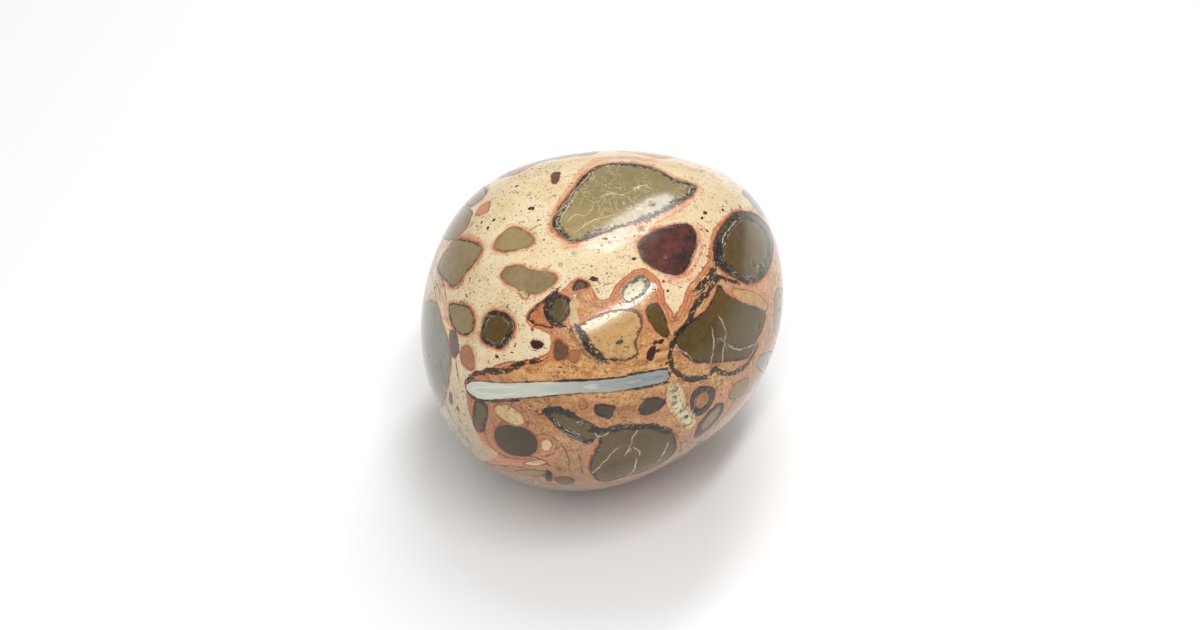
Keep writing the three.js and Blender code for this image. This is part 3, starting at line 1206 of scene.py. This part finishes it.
def field(name):
    return nodes.number("ShaderNodeAttribute", {"attribute_name": name}, output="Fac")


def tint(name):
    return nodes.add("ShaderNodeAttribute", {"attribute_name": name}).outputs["Color"]


def noise(per_mm, detail=2.0, roughness=0.5, distortion=0.0, shift=0.0, squeeze=(1.0, 1.0, 1.0)):
    """Cloudy noise about 0, mostly between -0.3 and 0.3, with that many clouds to a millimetre. A squeeze
    of more than 1 along an axis makes the clouds flatter that way."""
    moved = nodes.vector("ADD", nodes.vector("MULTIPLY", millimetres, squeeze), (shift, shift, shift))
    wiring = {
        "Vector": moved, "Scale": per_mm, "Detail": detail, "Roughness": roughness, "Distortion": distortion,
    }
    return nodes.number("ShaderNodeTexNoise", None, wiring) - 0.5


def waves(distance, spacing):
    """Even waves between -1 and 1 along a distance, with that spacing in mm."""
    return (distance * (2 * math.pi / spacing)).sine()


def spots(per_mm, share, size, shift=0.0):
    """Round spots: 1 inside one and 0 outside. share of the cells have a spot, of that size in cells."""
    moved = nodes.vector("ADD", millimetres, (shift, shift, shift))
    cells = nodes.add("ShaderNodeTexVoronoi", None, {"Vector": moved, "Scale": per_mm})
    chance = nodes.add("ShaderNodeSeparateColor", wiring={0: cells.outputs["Color"]}).outputs
    has_spot = Number(nodes, chance[0]).rise(1 - share, 1 - share + 0.01)
    radius = (Number(nodes, chance[1]) * 0.7 + 0.3) * size
    return (Number(nodes, cells.outputs["Distance"]) / radius).rise(1.0, 0.6) * has_spot


def patchy(per_mm, evenness, shift=0.0):
    """A share that comes and goes over the stone: the evenness says how much of it is 1."""
    return (noise(per_mm, 2.0, shift=shift) * 3.0 + evenness).at_least(0.0).at_most(1.0)


def mix(share, a, b):
    """Colour a where share is 0 and colour b where it is 1. Each is a colour's name or a link."""
    a, b = (colour(*TONES[c]) if isinstance(c, str) else c for c in (a, b))
    settings = {"data_type": "RGBA", "clamp_factor": True}
    return nodes.add("ShaderNodeMix", settings, {0: share, 6: a, 7: b}).outputs[2]


def painted(under, *layers):
    """A colour with layers over it, each a share and a colour."""
    for share, over in layers:
        under = mix(share, under, over)
    return under


def count_nodes(step):
    print("nodes after the", step + ":", len(rock.node_tree.nodes))


# %% [markdown]
# The clast field is bent by noise before anything reads it, so the clasts, their rims and their halos have
# the same uneven edge. A halo is broad in some places and nearly gone in others.

# %% The bent edges of the clasts
clast = field("clast") + (noise(0.9, 3.0) * 0.45 + noise(3.5, 2.0, shift=20.0) * 0.2)
depth = -clast
in_clast = clast.rise(0.05, -0.05)
halo_width = (field("halo") * (1.0 + noise(0.35, 2.0, shift=5.0) * 1.8)).at_least(0.05)
rim_width = field("rim")
fine = noise(4.0, 3.0, 0.6, shift=3.0)
count_nodes("clasts' edges")

# %% [markdown]
# The cream rock is the fresh one. Its colour drifts between two creams, with clouds of straw, fine darker
# grain and a rosy tinge here and there. Towards the foot of the stone it turns greyer: that is painted
# shade, for the lower half, which the lights reach less.

# %% The cream ground
PAINTED_SHADE_ON_CREAM = (31.0, 13.0)  # mm above the floor, where the greyer colour begins and where it is fullest

cream = painted(
    mix(noise(0.22, 4.0, 0.6, shift=60.0).rise(-0.12, 0.16), "fresh cream", "deep cream"),
    (noise(1.1, 4.0, 0.65, shift=66.0).rise(0.03, 0.2) * 0.55, "straw"),
    (fine.rise(0.05, 0.25) * 0.4, "dull straw"),
    (noise(0.12, 2.0, shift=80.0).rise(0.02, 0.2) * 0.4, "rosy cream"),
    # painted shade: greyer towards the foot, where less light reaches
    (height.rise(*PAINTED_SHADE_ON_CREAM) * 0.85, "shaded cream"),
)
count_nodes("cream ground")

# %% [markdown]
# Where iron soaked in, the ground is tan to rust. The iron flowed round what was in its way, so its bands
# follow the nearest of the clasts, the border of the tan rock and the vein. Near the vein the rock is
# fibrous and the colour of honey, and away from it marbled. Towards the foot it turns greyer too, with
# painted shade.

# %% What the tan ground follows
BAND_SPACING, THIN_BAND_SPACING = 1.1, 0.37  # mm
NEAR_VEIN = (6.0, 2.0)  # mm from the vein, where each of these begins and where it is fullest
UNDER_VEIN = (6.5, 2.5)
AWAY_FROM_VEIN = (3.0, 7.0)
VEIN_HEIGHT = (28.5, 26.0)  # mm above the floor, above the vein and below it
DARK_HONEY_HEIGHT = (29.0, 25.0)  # mm above the floor
FIBRE_SQUEEZE = (0.3, 0.35, 2.4)  # the fibres lie level

zone = field("zone") + noise(0.45, 3.0, shift=40.0) + noise(2.2, 2.0, shift=9.0) * 0.25
is_tan = zone.rise(0.1, -0.12)
flow = clast.at_most(-zone + 0.6).at_most(field("vein") + 0.4)
flow = flow + noise(0.4, 4.0, 0.6, distortion=0.6, shift=12.0) * 2.2
bands = waves(flow, BAND_SPACING) * 0.5 + 0.5
thin_bands = waves(flow, THIN_BAND_SPACING) * 0.5 + 0.5
near_vein = field("vein").rise(*NEAR_VEIN)
under_vein = field("vein").rise(*UNDER_VEIN) * height.rise(*VEIN_HEIGHT)
away_from_vein = field("vein").rise(*AWAY_FROM_VEIN)
honey = mix(height.rise(*DARK_HONEY_HEIGHT), "honey", "dark honey")
fibre = noise(0.8, 4.0, 0.65, shift=67.0, squeeze=FIBRE_SQUEEZE)
marbling = noise(0.35, 4.0, 0.6, distortion=1.2, shift=83.0)
marbling_line = abs(marbling - 0.02).rise(0.012, 0.003) * patchy(0.5, 0.5, shift=84.0)
blotch = noise(1.2, 4.0, 0.65, distortion=0.8, shift=93.0)
blotch_line = abs(blotch - 0.03).rise(0.016, 0.004) * patchy(0.6, 0.5, shift=94.0)
count_nodes("courses of the tan ground")

# %% The tan ground
PAINTED_SHADE_ON_TAN = (33.0, 13.0)  # mm above the floor

tan_ground = painted(
    mix(bands * 0.7, "pale tan", "tan"),
    (thin_bands ** 3.0 * 0.45, "thin rust band"),
    (noise(0.3, 3.0, shift=33.0).rise(0.0, 0.2) * 0.55, "sand"),
    (fine.rise(0.03, 0.22) * 0.8, "brown grain"),
    (fine.rise(-0.05, -0.22) * 0.65, "pale grain"),
    (noise(1.2, 3.0, 0.6, shift=74.0).rise(0.06, 0.2) * 0.5, "burnt orange"),
    (near_vein * 0.5, honey),
    (near_vein * fibre.rise(0.0, 0.12) * 0.7, "brown fibre"),
    (near_vein * fibre.rise(0.0, -0.14) * 0.6, "pale fibre"),
    (away_from_vein * marbling.rise(0.02, 0.1) * 0.6, "rosy marbling"),
    (away_from_vein * marbling.rise(-0.05, -0.14) * 0.6, "pale marbling"),
    (away_from_vein * marbling_line * 0.8, "marbling line"),
    (blotch.rise(0.03, 0.09) * 0.5, "pale blotch"),
    (blotch.rise(-0.04, -0.12) * 0.5, "rust blotch"),
    (under_vein * 0.3, "brown stain"),
    (blotch_line * 0.6, "blotch line"),
    # painted shade: the tan greys towards the foot, where less light reaches
    (height.rise(*PAINTED_SHADE_ON_TAN) * 0.72, "shaded tan"),
)
count_nodes("tan ground")

# %% [markdown]
# The border between the two grounds has the strongest bands of orange, on the tan side of it, and a thin
# red-brown thread runs right on it.

# %% The border of the tan ground
BORDER_BAND_SPACING = 0.42  # mm
BORDER_BREADTH = (-1.5, -0.5)  # mm inside the tan, where the bands begin and where they are fullest

border_bands = (waves(zone, BORDER_BAND_SPACING) * 0.5 + 0.5) ** 1.5
along_border = zone.rise(0.3, 0.05) * zone.rise(*BORDER_BREADTH) * patchy(0.3, 0.9, shift=21.0)
border_thread = zone.rise(0.2, 0.05) * zone.rise(-0.15, 0.0)
ground = painted(
    mix(is_tan, cream, tan_ground),
    (along_border * (border_bands * 0.85 + 0.15), "border band"),
    (border_thread * 0.7, "border thread"),
)
count_nodes("border")

# %% [markdown]
# Iron also stained the rock round each clast: a rust line at its edge, an orange halo and sometimes a faint
# outer line. The blushes are soft bands of it along their traced lines. Towards the foot the halos turn
# greyer, with painted shade.

# %% Blushes and halos
BLUSH_SPACING = 0.7  # mm from one band of a blush to the next
BLUSH_BREADTH = (1.1, 0.1)  # mm from its line, where a blush ends and where it is strongest
PAINTED_SHADE_ON_HALOS = (34.0, 14.0)  # mm above the floor

blush_bend = noise(0.6, 3.0, shift=53.0) * 2.0
blush = abs(field("blush_side") + blush_bend).rise(*BLUSH_BREADTH) * field("blush_near").rise(1.6, 0.8)
blush_bands = waves(field("blush_side") + blush_bend * 0.334, BLUSH_SPACING) * 0.3 + 0.6
away = clast / halo_width
halo_tone = painted(
    mix(away.rise(0.1, 1.2), "inner halo", "outer halo"),
    (noise(1.6, 3.0, 0.6, shift=73.0).rise(0.0, 0.12) * 0.5, "clouded halo"),
    # painted shade: the halos grey towards the foot too
    (height.rise(*PAINTED_SHADE_ON_HALOS) * 0.45, "shaded halo"),
)
halo = away.rise(1.2, 0.5) * patchy(0.5, 0.85, shift=70.0)
outer_line = abs(away - 1.15).rise(0.22, 0.05) * patchy(0.35, 0.4, shift=75.0)
rust_line = away.rise(0.45, 0.15) * patchy(0.7, 0.6, shift=77.0)
ground = painted(
    ground,
    (blush * blush_bands * 0.85, "blush"),
    (halo * 0.85, halo_tone),
    (outer_line * 0.6, "outer line"),
    (rust_line * 0.85, "rust line"),
)
count_nodes("halos")

# %% [markdown]
# Inside a clast its two colours change places in soft patches, with finer clouds over them. The crazed
# clasts have a net of fine pale lines, which comes where distorted noise passes through zero.

# %% The stone of the clasts
coarse_patches = noise(0.3, 4.0, 0.62, shift=15.0).rise(-0.1, 0.12)
small_patches = noise(1.3, 4.0, 0.7, shift=16.0).rise(-0.08, 0.1)
crazing = abs(noise(0.75, 4.0, 0.6, distortion=0.8, shift=85.0)).rise(0.018, 0.006)
crazing = crazing * field("crackle") * noise(0.2, 2.0, shift=86.0).rise(-0.08, 0.05)
clasts = painted(
    mix((coarse_patches + small_patches) * 0.5, tint("ground"), tint("patch")),
    (noise(2.6, 4.0, 0.7, shift=25.0).rise(0.04, 0.3) * 0.3, "dark cloud"),
    (noise(3.2, 3.0, 0.7, shift=55.0).rise(0.12, 0.3) * 0.25, "pale cloud"),
    (crazing * 0.7, "crazing"),
)
count_nodes("clasts")

# %% [markdown]
# Manganese crept into many clasts from their edge and left a dark, mottled rim. The broad rims have paler
# strands in them that follow the edge, and pale flecks, which are painted glints off tiny pits. The healed
# cracks lie over all of it.

# %% The rims and cracks of the clasts
STRAND_SPACING = 0.45  # mm
CRACK_WIDTH = (0.12, 0.04)  # mm from its line, where a crack ends and where it is fullest

rim_reach = (rim_width * (1.0 + noise(0.45, 3.0, shift=31.0) * 3.0)).at_least(0.03)
in_rim = (depth / rim_reach).rise(1.5, 0.0)
has_rim = rim_width.rise(0.08, 0.25)
mottling = noise(2.6, 4.0, 0.72, shift=44.0)
blots = (in_rim * 0.85 + mottling * 2.6).rise(0.42, 0.62)
rim_tone = mix(noise(1.4, 2.0, shift=46.0).rise(-0.05, 0.12), "black rim", "slate rim")
# pale flecks: in the rims they are painted glints; the seams use them too
pale_flecks_and_glints = spots(1.9, 0.4, 0.3, shift=6.0)
strands = waves(depth + noise(0.9, 3.0, shift=7.0) * 1.146, STRAND_SPACING).rise(0.72, 0.95)
strands = (strands * noise(0.8, 2.0, shift=8.0).rise(-0.02, 0.1)).at_least(pale_flecks_and_glints)
strands = strands * rim_width.rise(0.5, 0.85) * in_rim.rise(0.15, 0.5)
edge_line = depth.rise(0.16, 0.03) * patchy(0.8, 0.5, shift=62.0) * rim_width.rise(0.0, 0.05)
crack_bend = noise(1.6, 3.0, shift=13.0) * 0.5
crack = abs(field("crack_side") + crack_bend).rise(*CRACK_WIDTH) * field("crack_near").rise(0.6, 0.35)
crack = crack * patchy(0.9, 0.75, shift=18.0)
clasts = painted(
    clasts,
    (blots * has_rim * 0.92, rim_tone),
    # pale strands of the rock, with painted glints among them
    (strands * 0.8, "rim strand and glint"),
    (edge_line * 0.8, "clast edge"),
    (crack * 0.8, "healed crack"),
)
surface = mix(in_clast, ground, clasts)
count_nodes("rims and cracks")

# %% [markdown]
# A black seam is a string of manganese grains, broken by noise, with pale flecks in it. Its breadth changes
# along its way. A thread is a thin brown line that shows on the ground alone.

# %% Seams and threads
SEAM_WIDTH, LEAST_SEAM_WIDTH = 0.36, 0.08  # mm from its line to each side
THREAD_WIDTH = (0.2, 0.08)  # mm from its line, where a thread ends and where it is fullest

seam_bend = noise(0.7, 2.0, shift=48.0) * 0.6
seam_width = (SEAM_WIDTH + noise(0.9, 1.0, shift=52.0) * 0.8).at_least(LEAST_SEAM_WIDTH)
seam = (abs(field("seam_side") + seam_bend) / seam_width).rise(1.2, 0.7)
seam = seam * field("seam_near").rise(1.0, 0.6) * noise(1.9, 3.0, 0.65, shift=91.0).rise(-0.13, -0.05)
thread = abs(field("thread_side") + noise(1.1, 3.0, shift=58.0) * 0.35).rise(*THREAD_WIDTH)
thread = thread * field("thread_near").rise(0.6, 0.35) * patchy(1.1, 0.7, shift=59.0) * (1.0 - in_clast)
surface = painted(
    surface,
    (seam * 0.95, "manganese"),
    (seam * pale_flecks_and_glints * 0.6, "seam fleck"),
    (thread * 0.8, "flow thread"),
)
count_nodes("seams and threads")

# %% [markdown]
# The vein is white at its left end and turns to a bluish grey towards the right, with a thin dark line at
# its edge. Its streaks run along it: the noise for them has the way across the stone as one axis and the
# distance to the vein's edge as another.

# %% The colours of the vein
WHITE_TO_BLUE = (-13.0, 8.0)  # mm across the stone
STREAKS_ALONG, STREAKS_ACROSS = 0.22, 2.4  # to a mm

vein = field("vein") + noise(1.4, 3.0, 0.6, shift=36.0) * 0.3
in_vein = vein.rise(0.04, -0.05)
dark_edge = abs(vein - 0.07).rise(0.16, 0.05) * patchy(0.7, 0.6, shift=98.0)
run = {0: across * STREAKS_ALONG, 1: field("vein") * STREAKS_ACROSS}
run = nodes.add("ShaderNodeCombineXYZ", wiring=run).outputs[0]
streaks = nodes.number("ShaderNodeTexNoise", None, {"Vector": run, "Scale": 1.0, "Detail": 4.0})
vein_tone = painted(
    mix(across.rise(*WHITE_TO_BLUE), "white vein", "blue vein"),
    (streaks.rise(0.44, 0.6) * 0.45, "grey streak"),
    (streaks.rise(0.44, 0.34) * 0.35, "white streak"),
    (fine.rise(0.1, 0.3) * 0.3, "vein grain"),
)
surface = painted(surface, (in_vein, vein_tone), (dark_edge * 0.95, "vein edge"))
count_nodes("vein")

# %% [markdown]
# The polish shows dark specks where grains fell out: round ones, uneven ones, and small rings. They crowd in
# some parts of the ground. The vein and most kinds of clast have none. The pale and the orange kinds, which
# the red in their second colour tells from the others, have nearly as many as the ground.

# %% Pits and specks in the polish
redness = Number(nodes, nodes.add("ShaderNodeSeparateColor", wiring={0: tint("patch")}).outputs[0])
smooth_clast = in_clast * (1.0 - redness.rise(0.35, 0.45) * 0.8)
bare = (1.0 - smooth_clast) * (1.0 - in_vein)
crowding = noise(0.16, 3.0, 0.6, shift=27.0).rise(-0.12, 0.15)


def grains(per_mm, level, shift, squeeze=(1.0, 1.0, 1.0)):
    """Uneven dark grains where fine noise has its peaks, more of them where it is crowded."""
    high = noise(per_mm, 2.0, 0.6, shift=shift, squeeze=squeeze) + crowding * 0.05
    return (high - level).rise(0.0, 0.04)


ring = spots(0.7, 0.3, 0.3, shift=29.0) * (1.0 - spots(0.7, 0.3, 0.18, shift=29.0))
specks = spots(1.25, crowding * 0.35 + 0.1, 0.3, shift=2.0) * 0.85
for speck in (
    grains(2.4, 0.15, 17.0) * 0.85,
    grains(1.1, 0.2, 19.0, (1.0, 1.4, 2.2)),
    grains(4.0, 0.12, 23.0) * 0.5,
    ring * 0.7,
):
    specks = specks.at_least(speck)
specks = specks * bare
pit = field("pit")
# painted shade: the colour darkens where the mesh dips in a pit
surface = painted(surface, (specks * 0.92, "speck"), (pit * bare * 0.6, "pit"))
count_nodes("pits and specks")

# %% [markdown]
# The polish is glossy all over. It is a little duller on the clasts, the black parts, the pits and the
# specks, and a faint unevenness runs through it. A bump of less than a tenth of a millimetre gives the
# specks and the dark parts a shallow bottom and lets the vein stand out by a trace.

# %% The finish
POLISH = 0.09  # roughness of the bare polish
REFRACTION = 1.52
RELIEF_DEPTH, RELIEF_STRENGTH = 0.08, 0.3  # mm, and the share of it that shows

dark_parts = (in_clast * blots * has_rim).at_least(seam)
unevenness = noise(0.5, 3.0, shift=88.0).at_least(0.0)
roughness = POLISH + in_clast * 0.04 + dark_parts * 0.1 + specks * 0.3 + pit * 0.25 + unevenness * 0.1
relief = in_vein * 0.15 + fine * 0.12 - specks * 0.5 - dark_parts * 0.3
bump = nodes.add(
    "ShaderNodeBump",
    wiring={"Strength": RELIEF_STRENGTH, "Distance": RELIEF_DEPTH * MM, "Height": relief},
)
shader = nodes.add(
    "ShaderNodeBsdfPrincipled",
    wiring={"Base Color": surface, "Roughness": roughness, "Normal": bump.outputs[0], "IOR": REFRACTION},
)
nodes.add("ShaderNodeOutputMaterial", wiring={"Surface": shader.outputs[0]})
print("nodes in the material:", len(rock.node_tree.nodes))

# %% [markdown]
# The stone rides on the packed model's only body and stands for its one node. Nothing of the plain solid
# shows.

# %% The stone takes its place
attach(stone, "root")
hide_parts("stone")

# %% [markdown]
# The stone lies on a pale floor in plain soft light: white all round, and two long soft lights side by side
# under the ceiling, one in front of the stone and one behind it. Their reflections are the two bright
# streaks on the polish, so where the streaks lie in the photograph says where the lights hang.

# %% Floor and light
CEILING = 350.0  # mm from the middle of the stone up to the lights
FLOOR_REACH = 2000.0  # mm from the middle of the floor to each side
FLOOR_COLOUR = (0.94, 0.94, 0.94, 1)
FLOOR_ROUGHNESS = 0.7
ROOM_COLOUR = (1, 1, 1, 1)
ROOM_BRIGHTNESS = 0.46


def pale_floor():
    """A large sheet at height 0."""
    material = bpy.data.materials.new("pale_floor")
    material.use_nodes = True
    principled = material.node_tree.nodes["Principled BSDF"]
    principled.inputs["Base Color"].default_value = FLOOR_COLOUR
    principled.inputs["Roughness"].default_value = FLOOR_ROUGHNESS
    sheet = bpy.data.meshes.new("floor")
    reach = FLOOR_REACH * MM
    corners = [(-reach, -reach, 0), (reach, -reach, 0), (reach, reach, 0), (-reach, reach, 0)]
    sheet.from_pydata(corners, [], [(0, 1, 2, 3)])
    sheet.materials.append(material)
    floor = bpy.data.objects.new("floor", sheet)
    bpy.context.collection.objects.link(floor)


def strip_light(name, plan, turn, length, width, brightness):
    """A long soft light under the ceiling, which shines straight down. Its place and size are shares of its
    height over the middle of the stone, and its turn is in degrees, seen from above."""
    data = bpy.data.lights.new(name, "AREA")
    data.shape = "RECTANGLE"
    data.size = length * CEILING * MM
    data.size_y = width * CEILING * MM
    data.energy = brightness * math.pi * data.size * data.size_y
    light = bpy.data.objects.new(name, data)
    light.location = Vector(middle) * MM + Vector((*plan, 1)) * CEILING * MM
    light.rotation_euler = (0, 0, math.radians(turn))
    bpy.context.collection.objects.link(light)


def white_room():
    """White light from all round, and plain colours in the picture."""
    world = bpy.data.worlds.new("white room")
    world.use_nodes = True
    background = world.node_tree.nodes["Background"]
    background.inputs["Color"].default_value = ROOM_COLOUR
    background.inputs["Strength"].default_value = ROOM_BRIGHTNESS
    bpy.context.scene.world = world
    bpy.context.scene.view_settings.view_transform = "Standard"


pale_floor()
strip_light("front light", plan=(-0.005, -0.642), turn=60.5, length=1.14, width=0.1, brightness=22.5)
strip_light("rear light", plan=(0.25, 0.63), turn=53.0, length=1.04, width=0.22, brightness=9.5)
white_room()
